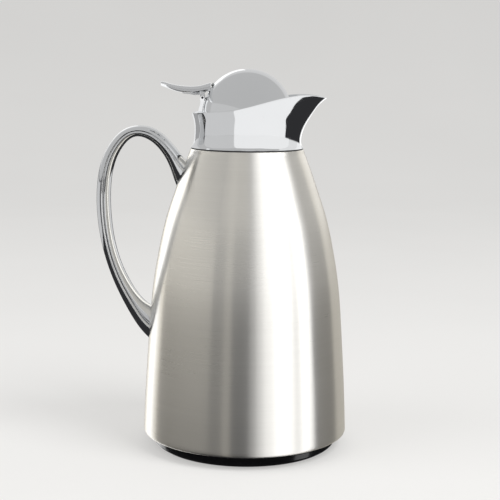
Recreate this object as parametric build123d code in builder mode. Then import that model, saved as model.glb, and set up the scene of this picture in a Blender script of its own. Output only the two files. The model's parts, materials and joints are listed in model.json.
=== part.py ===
from build123d import *
import os
from math import asin, cos, pi, radians, sin, sqrt

os.makedirs("parts", exist_ok=True)

# A glass-lined vacuum jug with a lever lid.  Millimetres, +Z up, the origin on the jug's axis in the
# plane that it stands on.  The spout points along +X and the handle along -X.

# ---------------------------------------------------------------------------- driving dimensions

# Outer shell: spun steel, given by its widest radius, wall and the (radius, height) of its flank.
SHELL_WALL = 0.7
SHELL_FLOOR = 9.5             # height of the turned-in lower edge
SHELL_CORNER = 2.0            # radius of the lower corner
SHELL_MOUTH = 66.0            # radius of the opening in the underside
SHELL_TOP = 218.3             # height of the flat top flange
SHELL_TOP_RADIUS = 41.0
NECK_HOLE = 24.0              # radius of the hole that the pouring insert passes through
SHELL_FLANK = [
    (75.0, SHELL_FLOOR + SHELL_CORNER), (73.9, 37.3), (70.8, 86.1), (67.5, 122.2), (63.4, 146.0),
    (57.9, 169.6), (52.1, 187.1), (45.9, 204.6), (41.5, 215.8),
]

# Pouring collar: a round chrome neck drawn out into a beak.
# Each row is (height, radius behind and beside, reach of the beak in front).
GASKET_HEIGHT = 0.9
COLLAR_BASE = SHELL_TOP + GASKET_HEIGHT
COLLAR_WALL = 1.2
COLLAR_ROWS = [
    (COLLAR_BASE, 41.0, 41.0),
    (COLLAR_BASE + COLLAR_WALL, 39.7, 39.8),
    (223.0, 38.7, 38.9),
    (228.0, 38.1, 39.2),
    (233.0, 38.0, 40.7),
    (238.0, 38.6, 43.2),
    (244.0, 40.2, 46.9),
    (250.0, 40.8, 51.2),
    (255.0, 41.0, 56.9),
    (259.0, 41.2, 62.5),
]
BEAK_HALF_ANGLE = radians(65)     # how far round the collar the beak starts
BEAK_TIP_ROUNDING = radians(5)
BEAK_POWER = 3                    # over 1 draws the beak's sides in
COLLAR_RIM = [(-46.0, 243.2), (-27.0, 245.3), (-11.3, 246.9), (9.0, 251.7), (29.8, 256.5),
              (43.0, 257.4), (57.8, 255.5), (66.0, 253.8)]

# Pouring insert and the neck that clamps it.
THROAT_RADIUS = 18.0
INSERT_TUBE = 22.0            # outer radius of the tube below the flange
INSERT_BOTTOM = 208.0
SEAT_FOOT = 220.0             # the 45 degree seat rises from the throat at this height
SEAT_RADIUS = 30.0            # outer radius of the seat
INSERT_RIM_RADIUS = 36.4
INSERT_RIM_TOP = 235.2
INSERT_WALL = 2.0
NUT_RADIUS = 32.0
NUT_BOTTOM = 208.5

# Vacuum flask: two glass bottles joined at the lip.  The outside of the outer one is given here, and
# every other glass surface lies a constant distance inside it.
GLASS = 1.5
VACUUM_GAP = 4.0
NECK_GAP = 2.0
FLASK_FLOOR = 22.0
FLASK_RADIUS = 63.5
FLASK_FOOT_CORNER = 22.0
FLASK_STRAIGHT_TOP = 96.0     # the flask is a cylinder up to here
FLASK_TAPER_RADIUS = 200.0    # then leans in along a wide arc
FLASK_TAPER_ANGLE = 17.0
FLASK_SHOULDER_RADIUS = 40.0
FLASK_NECK = THROAT_RADIUS + 2 * GLASS + NECK_GAP
FLASK_NECK_FILLET = 5.0
FLASK_LIP = 206.0
SPACER_COUNT = 3
SPACER_RADIUS = 5.0
SPACER_HEIGHT = 75.0

# Base.
RING_FLANGE = 70.0            # black ring seen under the steel
RING_BOTTOM = 7.2
RING_TOP = 20.0
RING_GRIP = 72.0              # the ring's lip above the steel edge
CAP_THREAD = 60.0
CAP_RADIUS = 67.0
CAP_BOTTOM = 1.2
CAP_FLOOR = 4.0
CAP_INSIDE = 7.0              # top of the cap's floor
CAP_TOP = 18.0
FOOT_INNER = 56.0
FOOT_OUTER = 64.0
FOOT_TOP = 3.0

# Handle: each row is (outer edge x, z), (inner edge x, z), share of the depth outside the widest
# line, and half width.  The first and last rows lie inside the shell, which trims the roots.
HANDLE_ROWS = [
    ((-38.5, 204.5), (-47.0, 183.0), 0.30, 7.2),
    ((-46.6, 212.3), (-51.9, 193.0), 0.32, 7.4),
    ((-53.6, 220.9), (-56.0, 204.6), 0.38, 7.7),
    ((-61.5, 228.7), (-60.9, 214.0), 0.44, 8.0),
    ((-70.3, 233.4), (-69.4, 222.9), 0.48, 8.2),
    ((-78.6, 234.3), (-77.8, 226.3), 0.50, 8.4),
    ((-88.1, 231.9), (-84.5, 224.6), 0.50, 8.5),
    ((-96.3, 225.0), (-90.2, 218.6), 0.50, 8.5),
    ((-103.5, 213.6), (-95.2, 208.9), 0.50, 8.5),
    ((-108.5, 194.0), (-98.7, 191.5), 0.50, 8.5),
    ((-109.0, 171.0), (-98.7, 169.5), 0.50, 8.5),
    ((-104.6, 142.9), (-94.9, 144.5), 0.50, 8.5),
    ((-96.4, 118.5), (-87.2, 124.0), 0.50, 8.4),
    ((-86.6, 98.6), (-77.4, 108.8), 0.48, 8.3),
    ((-76.6, 83.2), (-69.6, 102.3), 0.42, 8.2),
    ((-62.0, 70.0), (-58.0, 97.0), 0.40, 8.0),
]
HANDLE_SCREW_PITCH = 7.2
HANDLE_SCREW_RADIUS = 1.5
HANDLE_SCREW_HEAD = 3.0
HANDLE_PLATE = 2.4
HANDLE_SCREW_BITE = 7.0       # how far a screw reaches into the handle
HANDLE_SCREW_PLACES = [(-HANDLE_SCREW_PITCH / 2, 0), (HANDLE_SCREW_PITCH / 2, 0)]
HANDLE_FIXINGS = (203.0, 91.0)

# Lid and hinge.
DOME_RADIUS = 32.3
DOME_CENTRE = 243.2
DOME_WALL = 1.0
DOME_SKIRT = 240.0            # lower edge of the dome
PIN_X = -32.2
PIN_Z = 254.8
PIN_RADIUS = 1.0
PIN_HALF_LENGTH = 7.9
KNUCKLE_RADIUS = 1.9
KNUCKLE_HALF = 4.5            # half length of the lever's knuckle
EAR_INNER = 4.8
EAR_OUTER = 7.4
RUNNING_CLEARANCE = 0.05
PLUG_TOP = 243.0
PLUG_FLANGE = 239.2
SEAL_SECTION = 1.5            # radius of the round seal's section
SEAL_RADIUS = 24.5
SEAL_OFF_SEAT = 0.3
RETAINER_TOP = 227.4
RETAINER_BOTTOM = 223.4
RETAINER_SCREW = 2.0
RETAINER_SCREW_HEAD = 3.6
INSULATION_RADIUS = 29.3
LEVER_SCREW_RADIUS = 1.1
LEVER_SCREW_HEAD = 2.0
LEVER_SCREW_HALF_PITCH = 3.2
LEVER_SCREW_ANGLE = radians(140.5)    # from +X towards +Z, seen from the dome's centre


# ---------------------------------------------------------------------------- shared outlines

def turned(*outline):
    """The face of a closed (radius, height) outline, ready to revolve about the jug's axis."""
    with BuildSketch(Plane.XZ) as face:
        with BuildLine():
            Polyline(*outline, close=True)
        make_face()
    return face.sketch


def inset(curve, distance, count=24):
    """Points at a distance inside a flank that runs upwards, as (radius, height)."""
    points = []
    for step in range(count + 1):
        place = curve @ (step / count)
        along = curve % (step / count)
        points.append((place.X - distance * along.Z, place.Z + distance * along.X))
    return points


def flank_curve(points):
    """A free-standing spline in the XZ plane, for insets and envelopes."""
    with BuildLine(Plane.XZ) as line:
        Spline(*points)
    return line.edges()[0]


def collar_radius(angle, back, front):
    """Polar radius of a collar section whose beak points along angle 0."""
    bend = sqrt(angle**2 + BEAK_TIP_ROUNDING**2) - BEAK_TIP_ROUNDING
    share = max(0.0, 1 - bend / BEAK_HALF_ANGLE) ** BEAK_POWER
    return back + (front - back) * share


def collar_section(height, back, front, wall=0.0):
    """A closed collar section, drawn inwards by the wall; points crowd towards the beak."""
    half = [pi * (step / 13) ** 1.5 for step in range(14)]
    angles = [-angle for angle in half[12:0:-1]] + half
    points = []
    for angle in angles:
        radius = collar_radius(angle, back - wall, front - 1.5 * wall)
        points.append((radius * cos(angle), radius * sin(angle)))
    with BuildSketch(Plane.XY.offset(height)) as face:
        with BuildLine():
            Spline(*points, periodic=True)
        make_face()
    return face.sketch


def radial_plane(angle, radius, height):
    """An upright plane at a radius, whose normal points away from the axis."""
    normal = Vector(cos(angle), sin(angle), 0)
    return Plane(origin=normal * radius + Vector(0, 0, height), z_dir=normal)


def fixing_plane(height, outside):
    """A plane square to the back of the shell at a height, that far outside its surface."""
    low, high = 0.0, 1.0
    for _ in range(40):
        middle = (low + high) / 2
        if (shell_flank @ middle).Z < height:
            low = middle
        else:
            high = middle
    place = shell_flank @ low
    along = shell_flank % low
    normal = Vector(-along.Z, 0, -along.X)
    return Plane(origin=Vector(-place.X, 0, place.Z) + normal * outside, x_dir=(0, 1, 0),
                 z_dir=normal)


shell_flank = flank_curve(SHELL_FLANK)
shell_inside = inset(shell_flank, SHELL_WALL)


def bottle(depth, neck_radius, top=FLASK_LIP - GLASS):
    """Half section of the solid bottle whose body lies a depth inside the flask's outside."""
    corner = FLASK_FOOT_CORNER - depth
    foot = (FLASK_RADIUS - FLASK_FOOT_CORNER, FLASK_FLOOR + FLASK_FOOT_CORNER)
    with BuildSketch(Plane.XZ) as face:
        with BuildLine():
            Line((0, FLASK_FLOOR + depth), (foot[0], FLASK_FLOOR + depth))
            CenterArc(foot, corner, -90, 90)
            side = Line((FLASK_RADIUS - depth, foot[1]), (FLASK_RADIUS - depth, FLASK_STRAIGHT_TOP))
            taper = JernArc(side @ 1, (0, 1), FLASK_TAPER_RADIUS - depth, FLASK_TAPER_ANGLE)
            shoulder = JernArc(taper @ 1, taper % 1, FLASK_SHOULDER_RADIUS - depth,
                               90 - FLASK_TAPER_ANGLE)
            crown = (shoulder @ 1).Y
            Polyline(shoulder @ 1, (0, crown), (0, FLASK_FLOOR + depth))
        make_face()
        with BuildLine():
            Polyline((0, FLASK_STRAIGHT_TOP), (neck_radius, FLASK_STRAIGHT_TOP), (neck_radius, top),
                     (0, top), close=True)
        make_face()
        root = [vertex for vertex in face.vertices()
                if abs(vertex.X - neck_radius) < 0.01 and abs(vertex.Y - crown) < 2]
        fillet(root, FLASK_NECK_FILLET)
    return face.sketch


# ---------------------------------------------------------------------------- tool solids
# These are never written: they trim the pieces that lie against them.

with BuildPart() as shell_envelope:
    with BuildSketch(Plane.XZ):
        with BuildLine():
            Line((0, SHELL_FLOOR), (SHELL_FLANK[0][0] - SHELL_CORNER, SHELL_FLOOR))
            CenterArc((SHELL_FLANK[0][0] - SHELL_CORNER, SHELL_FLANK[0][1]), SHELL_CORNER, -90, 90)
            Spline(*SHELL_FLANK)
            Polyline(SHELL_FLANK[-1], (SHELL_TOP_RADIUS, SHELL_TOP), (0, SHELL_TOP), (0, SHELL_FLOOR))
        make_face()
    revolve(axis=Axis.Z)

with BuildPart() as shell_cavity:
    with BuildSketch(Plane.XZ):
        with BuildLine():
            Spline(*shell_inside)
            Polyline(shell_inside[-1], (0, shell_inside[-1][1]), (0, shell_inside[0][1]),
                     shell_inside[0])
        make_face()
    revolve(axis=Axis.Z)

with BuildPart() as collar_cavity:
    for height, back, front in COLLAR_ROWS[1:]:
        add(collar_section(height, back, front, COLLAR_WALL))
    loft()

with BuildPart() as dome_envelope:
    with Locations((0, 0, DOME_CENTRE)):
        Sphere(DOME_RADIUS)

# ---------------------------------------------------------------------------- jug: shell and base

with BuildPart() as outer_shell:
    with BuildSketch(Plane.XZ):
        with BuildLine():
            corner = (SHELL_FLANK[0][0] - SHELL_CORNER, SHELL_FLANK[0][1])
            inner_floor = SHELL_FLOOR + SHELL_WALL
            inner_top = SHELL_TOP - SHELL_WALL
            Line((SHELL_MOUTH, SHELL_FLOOR), (corner[0], SHELL_FLOOR))
            CenterArc(corner, SHELL_CORNER, -90, 90)
            Spline(*SHELL_FLANK)
            Polyline(SHELL_FLANK[-1], (SHELL_TOP_RADIUS, SHELL_TOP), (NECK_HOLE, SHELL_TOP),
                     (NECK_HOLE, inner_top), (SHELL_TOP_RADIUS - SHELL_WALL, inner_top),
                     shell_inside[-1])
            Spline(*shell_inside)
            Polyline(shell_inside[0], (corner[0], inner_floor), (SHELL_MOUTH, inner_floor),
                     (SHELL_MOUTH, SHELL_FLOOR))
        make_face()
    revolve(axis=Axis.Z)
    for height in HANDLE_FIXINGS:
        with BuildSketch(fixing_plane(height, -5)):
            with Locations(*HANDLE_SCREW_PLACES):
                Circle(HANDLE_SCREW_RADIUS)
        extrude(amount=10, mode=Mode.SUBTRACT)
outer_shell.part.label = "outer_shell"
export_step(outer_shell.part, "parts/outer_shell.step")

with BuildPart() as base_ring:
    revolve(turned((CAP_THREAD, RING_BOTTOM), (RING_FLANGE, RING_BOTTOM), (RING_FLANGE, SHELL_FLOOR),
                   (SHELL_MOUTH, SHELL_FLOOR), (SHELL_MOUTH, SHELL_FLOOR + SHELL_WALL),
                   (RING_GRIP, SHELL_FLOOR + SHELL_WALL), (RING_GRIP, 14.0), (64.0, RING_TOP),
                   (CAP_THREAD, RING_TOP)), axis=Axis.Z)
    fillet(base_ring.edges().group_by(Axis.Z)[0].sort_by(SortBy.RADIUS)[-1], 1.0)
base_ring.part.label = "base_ring"
export_step(base_ring.part, "parts/base_ring.step")

with BuildPart() as base_cap:
    revolve(turned((0, CAP_FLOOR), (FOOT_INNER - 3, CAP_FLOOR), (FOOT_INNER - 2, CAP_BOTTOM),
                   (FOOT_INNER, CAP_BOTTOM), (FOOT_INNER, FOOT_TOP), (FOOT_OUTER, FOOT_TOP),
                   (FOOT_OUTER, CAP_BOTTOM), (CAP_RADIUS - 1.5, CAP_BOTTOM),
                   (CAP_RADIUS, CAP_BOTTOM + 1.5), (CAP_RADIUS, RING_BOTTOM),
                   (CAP_THREAD, RING_BOTTOM), (CAP_THREAD, CAP_TOP), (CAP_THREAD - 3, CAP_TOP),
                   (CAP_THREAD - 3, CAP_INSIDE), (0, CAP_INSIDE)), axis=Axis.Z)
base_cap.part.label = "base_cap"
export_step(base_cap.part, "parts/base_cap.step")

with BuildPart() as foot_ring:
    revolve(turned((FOOT_INNER, 0), (FOOT_OUTER, 0), (FOOT_OUTER, FOOT_TOP), (FOOT_INNER, FOOT_TOP)),
            axis=Axis.Z)
    chamfer(foot_ring.edges().group_by(Axis.Z)[0], 0.4)
foot_ring.part.label = "foot_ring"
export_step(foot_ring.part, "parts/foot_ring.step")

# ---------------------------------------------------------------------------- jug: vacuum flask

with BuildPart() as flask_outer_wall:
    with BuildSketch(Plane.XZ):
        add(bottle(0, FLASK_NECK))
        add(bottle(GLASS, FLASK_NECK - GLASS), mode=Mode.SUBTRACT)
    revolve(axis=Axis.Z)
    # the drawn-off tip where the air was pumped out
    revolve(turned((0, FLASK_FLOOR + 0.5), (4.0, FLASK_FLOOR + 0.5), (2.6, FLASK_FLOOR - 3.5),
                   (1.2, FLASK_FLOOR - 6.0), (0, FLASK_FLOOR - 6.4)), axis=Axis.Z)
flask_outer_wall.part.label = "flask_outer_wall"
export_step(flask_outer_wall.part, "parts/flask_outer_wall.step")

with BuildPart() as flask_inner_wall:
    with BuildSketch(Plane.XZ):
        add(bottle(GLASS + VACUUM_GAP, THROAT_RADIUS + GLASS))
        add(turned((0, FLASK_LIP - GLASS), (FLASK_NECK, FLASK_LIP - GLASS), (FLASK_NECK, FLASK_LIP),
                   (0, FLASK_LIP)))
        add(bottle(2 * GLASS + VACUUM_GAP, THROAT_RADIUS, FLASK_LIP), mode=Mode.SUBTRACT)
    revolve(axis=Axis.Z)
flask_inner_wall.part.label = "flask_inner_wall"
export_step(flask_inner_wall.part, "parts/flask_inner_wall.step")

with BuildPart() as flask_spacers:
    for step in range(SPACER_COUNT):
        with BuildSketch(radial_plane(step * 2 * pi / SPACER_COUNT, 50, SPACER_HEIGHT)):
            Circle(SPACER_RADIUS)
        extrude(amount=16)
    revolve(bottle(GLASS, FLASK_NECK - GLASS), axis=Axis.Z, mode=Mode.INTERSECT)
    revolve(bottle(GLASS + VACUUM_GAP, THROAT_RADIUS + GLASS), axis=Axis.Z, mode=Mode.SUBTRACT)
flask_spacers.part.label = "flask_spacers"
export_step(flask_spacers.part, "parts/flask_spacers.step")

with BuildPart() as flask_cushion:
    revolve(turned((12, CAP_INSIDE), (46, CAP_INSIDE), (50, 30), (12, 30)), axis=Axis.Z)
    revolve(bottle(0, FLASK_NECK), axis=Axis.Z, mode=Mode.SUBTRACT)
flask_cushion.part.label = "flask_cushion"
export_step(flask_cushion.part, "parts/flask_cushion.step")

with BuildPart() as flask_neck_seal:
    revolve(turned((THROAT_RADIUS + 0.2, FLASK_LIP), (FLASK_NECK, FLASK_LIP),
                   (FLASK_NECK, INSERT_BOTTOM), (THROAT_RADIUS + 0.2, INSERT_BOTTOM)), axis=Axis.Z)
flask_neck_seal.part.label = "flask_neck_seal"
export_step(flask_neck_seal.part, "parts/flask_neck_seal.step")

# ---------------------------------------------------------------------------- jug: collar and throat

with BuildPart() as collar_gasket:
    revolve(turned((NECK_HOLE, SHELL_TOP), (SHELL_TOP_RADIUS - 0.5, SHELL_TOP),
                   (SHELL_TOP_RADIUS - 0.5, COLLAR_BASE), (NECK_HOLE, COLLAR_BASE)), axis=Axis.Z)
collar_gasket.part.label = "collar_gasket"
export_step(collar_gasket.part, "parts/collar_gasket.step")

with BuildPart() as pouring_collar:
    for height, back, front in COLLAR_ROWS:
        add(collar_section(height, back, front))
    loft()
    add(collar_cavity.part, mode=Mode.SUBTRACT)
    with BuildSketch(Plane.XY.offset(COLLAR_BASE)):
        Circle(NECK_HOLE)
    extrude(amount=COLLAR_WALL, mode=Mode.SUBTRACT)
    with BuildSketch(Plane.XZ):
        with BuildLine():
            Spline(*COLLAR_RIM)
            Polyline(COLLAR_RIM[-1], (66, 275), (-46, 275), COLLAR_RIM[0])
        make_face()
    extrude(amount=60, both=True, mode=Mode.SUBTRACT)
pouring_collar.part.label = "pouring_collar"
export_step(pouring_collar.part, "parts/pouring_collar.step")

with BuildPart() as pouring_insert:
    flange_bottom = COLLAR_BASE + COLLAR_WALL
    flange_top = flange_bottom + INSERT_WALL
    seat_top = SEAT_FOOT + SEAT_RADIUS - THROAT_RADIUS
    revolve(turned((THROAT_RADIUS, INSERT_BOTTOM), (THROAT_RADIUS, SEAT_FOOT), (SEAT_RADIUS, seat_top),
                   (INSERT_RIM_RADIUS - 1.6, seat_top + 1.6), (INSERT_RIM_RADIUS - 1.6, INSERT_RIM_TOP),
                   (INSERT_RIM_RADIUS, INSERT_RIM_TOP), (INSERT_RIM_RADIUS, seat_top),
                   (SEAT_RADIUS + 1, seat_top - 1.9),
                   (THROAT_RADIUS + flange_top - SEAT_FOOT + 2.8, flange_top),
                   (34.0, flange_top), (34.0, flange_bottom), (INSERT_TUBE, flange_bottom),
                   (INSERT_TUBE, INSERT_BOTTOM)), axis=Axis.Z)
pouring_insert.part.label = "pouring_insert"
export_step(pouring_insert.part, "parts/pouring_insert.step")

with BuildPart() as neck_nut:
    revolve(turned((INSERT_TUBE, NUT_BOTTOM), (NUT_RADIUS, NUT_BOTTOM),
                   (NUT_RADIUS, SHELL_TOP - SHELL_WALL), (INSERT_TUBE, SHELL_TOP - SHELL_WALL)),
            axis=Axis.Z)
    # spanner slots round the underside
    with BuildSketch(Plane.XY.offset(NUT_BOTTOM)):
        with PolarLocations(NUT_RADIUS, 6):
            Rectangle(6, 5)
    extrude(amount=4, mode=Mode.SUBTRACT)
neck_nut.part.label = "neck_nut"
export_step(neck_nut.part, "parts/neck_nut.step")

# ---------------------------------------------------------------------------- jug: handle

with BuildPart() as handle:
    for outer, inner, outside_share, half_width in HANDLE_ROWS:
        across = Vector(outer[0] - inner[0], 0, outer[1] - inner[1])
        depth = across.length
        out = across.normalized()
        middle = Vector(outer[0], 0, outer[1]) - out * depth * outside_share
        with BuildSketch(Plane(origin=middle, x_dir=(0, 1, 0), z_dir=(out.Z, 0, -out.X))):
            with BuildLine():
                EllipticalCenterArc((0, 0), half_width, depth * outside_share, arc_size=180)
                EllipticalCenterArc((0, 0), half_width, depth * (1 - outside_share), 180,
                                    arc_size=180)
            make_face()
    loft()
    add(shell_envelope.part, mode=Mode.SUBTRACT)
    for height in HANDLE_FIXINGS:
        with BuildSketch(fixing_plane(height, -1)):
            with Locations(*HANDLE_SCREW_PLACES):
                Circle(HANDLE_SCREW_RADIUS)
        extrude(amount=1 + HANDLE_SCREW_BITE, mode=Mode.SUBTRACT)
handle.part.label = "handle"
export_step(handle.part, "parts/handle.step")


def handle_plate(height):
    """A backing plate inside the shell, curved to it and drilled for the two handle screws."""
    with BuildPart() as plate:
        with BuildSketch(fixing_plane(height, -SHELL_WALL - HANDLE_PLATE)):
            RectangleRounded(16, 16, 2)
            with Locations(*HANDLE_SCREW_PLACES):
                Circle(HANDLE_SCREW_RADIUS, mode=Mode.SUBTRACT)
        extrude(amount=HANDLE_PLATE + 5)
        add(shell_cavity.part, mode=Mode.INTERSECT)
    return plate.part


def handle_screws(height):
    """Two pan-head screws from inside the shell, through plate and wall, into the handle."""
    with BuildPart() as screws:
        with BuildSketch(fixing_plane(height, -SHELL_WALL - HANDLE_PLATE)):
            with Locations(*HANDLE_SCREW_PLACES):
                Circle(HANDLE_SCREW_RADIUS)
        extrude(amount=SHELL_WALL + HANDLE_PLATE + HANDLE_SCREW_BITE)
        with BuildSketch(fixing_plane(height, -SHELL_WALL - HANDLE_PLATE)):
            with Locations(*HANDLE_SCREW_PLACES):
                Circle(HANDLE_SCREW_HEAD)
        extrude(amount=-1.9)
    return screws.part


with BuildPart() as handle_upper_plate:
    add(handle_plate(HANDLE_FIXINGS[0]))
handle_upper_plate.part.label = "handle_upper_plate"
export_step(handle_upper_plate.part, "parts/handle_upper_plate.step")

with BuildPart() as handle_lower_plate:
    add(handle_plate(HANDLE_FIXINGS[1]))
handle_lower_plate.part.label = "handle_lower_plate"
export_step(handle_lower_plate.part, "parts/handle_lower_plate.step")

with BuildPart() as handle_upper_screws:
    add(handle_screws(HANDLE_FIXINGS[0]))
handle_upper_screws.part.label = "handle_upper_screws"
export_step(handle_upper_screws.part, "parts/handle_upper_screws.step")

with BuildPart() as handle_lower_screws:
    add(handle_screws(HANDLE_FIXINGS[1]))
handle_lower_screws.part.label = "handle_lower_screws"
export_step(handle_lower_screws.part, "parts/handle_lower_screws.step")

# ---------------------------------------------------------------------------- jug: hinge

with BuildPart() as hinge_bracket:
    # the block that is brazed inside the collar's back wall
    with BuildSketch(Plane.XZ):
        with Locations((-37.0, 239.4)):
            Rectangle(7.2, 7.6)
    extrude(amount=EAR_OUTER, both=True)
    # the plate that carries both ears
    with BuildSketch(Plane.XZ):
        with BuildLine():
            Polyline((-33.4, 240.0), (-36.2, 243.2), (-35.4, 247.5), (PIN_X - KNUCKLE_RADIUS, PIN_Z),
                     (PIN_X, PIN_Z), (-32.7, PIN_Z - 3), (-32.7, 240.0), close=True)
        make_face()
        with Locations((PIN_X, PIN_Z)):
            Circle(KNUCKLE_RADIUS)
    extrude(amount=EAR_OUTER, both=True)
    with BuildSketch(Plane.XZ):
        with Locations((-34.0, 253.2)):
            Rectangle(10, 18)
    extrude(amount=EAR_INNER, both=True, mode=Mode.SUBTRACT)
    add(collar_cavity.part, mode=Mode.INTERSECT)
    with BuildSketch(Plane.XZ):
        with Locations((PIN_X, PIN_Z)):
            Circle(PIN_RADIUS)
    extrude(amount=EAR_OUTER + 1, both=True, mode=Mode.SUBTRACT)
hinge_bracket.part.label = "hinge_bracket"
export_step(hinge_bracket.part, "parts/hinge_bracket.step")

with BuildPart() as hinge_pin:
    with BuildSketch(Plane.XZ):
        with Locations((PIN_X, PIN_Z)):
            Circle(PIN_RADIUS)
    extrude(amount=PIN_HALF_LENGTH, both=True)
    chamfer(hinge_pin.edges().filter_by(GeomType.CIRCLE), 0.25)
hinge_pin.part.label = "hinge_pin"
export_step(hinge_pin.part, "parts/hinge_pin.step")

# ---------------------------------------------------------------------------- lid


def lever_screw_planes(radius):
    """Planes at the two lever screws, at a distance from the dome's centre."""
    planes = []
    for side in (-1, 1):
        swing = asin(side * LEVER_SCREW_HALF_PITCH / DOME_RADIUS)
        normal = Vector(cos(LEVER_SCREW_ANGLE) * cos(swing), sin(swing),
                        sin(LEVER_SCREW_ANGLE) * cos(swing))
        planes.append(Plane(origin=Vector(0, 0, DOME_CENTRE) + normal * radius, z_dir=normal))
    return planes


with BuildPart() as lid_dome:
    with BuildSketch(Plane.XZ):
        with BuildLine():
            inner = DOME_RADIUS - DOME_WALL
            CenterArc((0, DOME_CENTRE), DOME_RADIUS, 0, 90)
            Line((0, DOME_CENTRE + DOME_RADIUS), (0, DOME_CENTRE + inner))
            CenterArc((0, DOME_CENTRE), inner, 90, -90)
            Polyline((inner, DOME_CENTRE), (inner, DOME_SKIRT), (DOME_RADIUS, DOME_SKIRT),
                     (DOME_RADIUS, DOME_CENTRE))
        make_face()
    revolve(axis=Axis.Z)
    for plane in lever_screw_planes(inner - 2):
        with BuildSketch(plane):
            Circle(LEVER_SCREW_RADIUS)
        extrude(amount=6, mode=Mode.SUBTRACT)
lid_dome.part.label = "lid_dome"
export_step(lid_dome.part, "parts/lid_dome.step")

with BuildPart() as thumb_lever:
    # side outline of the blade, then its outline from above
    with BuildSketch(Plane.XZ):
        with BuildLine():
            Spline((-61.2, 266.2), (-55.9, 264.9), (-48.7, 263.6), (-41.5, 263.1), (-34.3, 263.6),
                   (-26.4, 265.9))
            Polyline((-26.4, 265.9), (-24.0, 262.6), (-26.5, 259.0))
            Spline((-26.5, 259.0), (-31.0, 258.6), (-36.0, 257.2), (-41.5, 257.1), (-51.6, 258.9),
                   (-61.0, 262.2))
            ThreePointArc((-61.0, 262.2), (-62.6, 264.3), (-61.2, 266.2))
        make_face()
    extrude(amount=10, both=True)
    with BuildSketch(Plane.XY.offset(250)):
        with BuildLine():
            tail = Spline((-24.0, 5.6), (-34.0, 6.0), (-46.0, 7.2), (-56.0, 7.6), (-62.6, 0),
                          tangents=((-1, 0), (0, -1)))
            mirror(tail, about=Plane.XZ)
            Line((-24.0, 5.6), (-24.0, -5.6))
        make_face()
    extrude(amount=20, mode=Mode.INTERSECT)
    # web and knuckle on the hinge pin
    with BuildSketch(Plane.XZ):
        with BuildLine():
            Polyline((PIN_X - KNUCKLE_RADIUS, PIN_Z), (PIN_X - KNUCKLE_RADIUS, 259.5), (-31.2, 259.5),
                     (-31.2, PIN_Z), close=True)
        make_face()
        with Locations((PIN_X, PIN_Z)):
            Circle(KNUCKLE_RADIUS)
    extrude(amount=KNUCKLE_HALF, both=True)
    add(dome_envelope.part, mode=Mode.SUBTRACT)
    with BuildSketch(Plane.XZ):
        with Locations((PIN_X, PIN_Z)):
            Circle(PIN_RADIUS + RUNNING_CLEARANCE)
    extrude(amount=KNUCKLE_HALF + 1, both=True, mode=Mode.SUBTRACT)
    for plane in lever_screw_planes(DOME_RADIUS - 2):
        with BuildSketch(plane):
            Circle(LEVER_SCREW_RADIUS)
        extrude(amount=3.2, mode=Mode.SUBTRACT)
thumb_lever.part.label = "thumb_lever"
export_step(thumb_lever.part, "parts/thumb_lever.step")

with BuildPart() as lever_screws:
    # the flat heads just clear the curve of the dome
    for plane in lever_screw_planes(DOME_RADIUS - DOME_WALL - 0.08):
        with BuildSketch(plane):
            Circle(LEVER_SCREW_RADIUS)
        extrude(amount=2.2)
        with BuildSketch(plane):
            Circle(LEVER_SCREW_HEAD)
        extrude(amount=-1.4)
lever_screws.part.label = "lever_screws"
export_step(lever_screws.part, "parts/lever_screws.step")

with BuildPart() as lid_plug:
    plug_radius = DOME_RADIUS - DOME_WALL
    groove = SEAL_RADIUS - SEAL_SECTION
    revolve(turned((0, RETAINER_TOP), (groove, RETAINER_TOP), (groove, 231.0), (26.2, 231.0),
                   (29.2, PLUG_FLANGE), (plug_radius, PLUG_FLANGE), (plug_radius, PLUG_TOP),
                   (0, PLUG_TOP)), axis=Axis.Z)
    with BuildSketch(Plane.XY.offset(RETAINER_TOP)):
        Circle(RETAINER_SCREW)
    extrude(amount=9, mode=Mode.SUBTRACT)
lid_plug.part.label = "lid_plug"
export_step(lid_plug.part, "parts/lid_plug.step")

with BuildPart() as lid_insulation:
    with Locations((0, 0, DOME_CENTRE)):
        Sphere(INSULATION_RADIUS)
    split(bisect_by=Plane.XY.offset(DOME_CENTRE), keep=Keep.TOP)
lid_insulation.part.label = "lid_insulation"
export_step(lid_insulation.part, "parts/lid_insulation.step")

with BuildPart() as lid_seal:
    seal_height = (SEAL_RADIUS - THROAT_RADIUS + SEAT_FOOT
                   + (SEAL_SECTION + SEAL_OFF_SEAT) * sqrt(2))
    with BuildSketch(Plane.XZ):
        with Locations((SEAL_RADIUS, seal_height)):
            Circle(SEAL_SECTION)
    revolve(axis=Axis.Z)
lid_seal.part.label = "lid_seal"
export_step(lid_seal.part, "parts/lid_seal.step")

with BuildPart() as seal_retainer:
    revolve(turned((0, RETAINER_BOTTOM), (20.0, RETAINER_BOTTOM), (24.0, 226.8),
                   (24.0, RETAINER_TOP), (0, RETAINER_TOP)), axis=Axis.Z)
    with BuildSketch(Plane.XZ):
        with BuildLine():
            Polyline((0, RETAINER_BOTTOM), (RETAINER_SCREW_HEAD, RETAINER_BOTTOM),
                     (RETAINER_SCREW, RETAINER_BOTTOM + 1.6), (RETAINER_SCREW, RETAINER_TOP),
                     (0, RETAINER_TOP), close=True)
        make_face()
    revolve(axis=Axis.Z, mode=Mode.SUBTRACT)
seal_retainer.part.label = "seal_retainer"
export_step(seal_retainer.part, "parts/seal_retainer.step")

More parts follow.
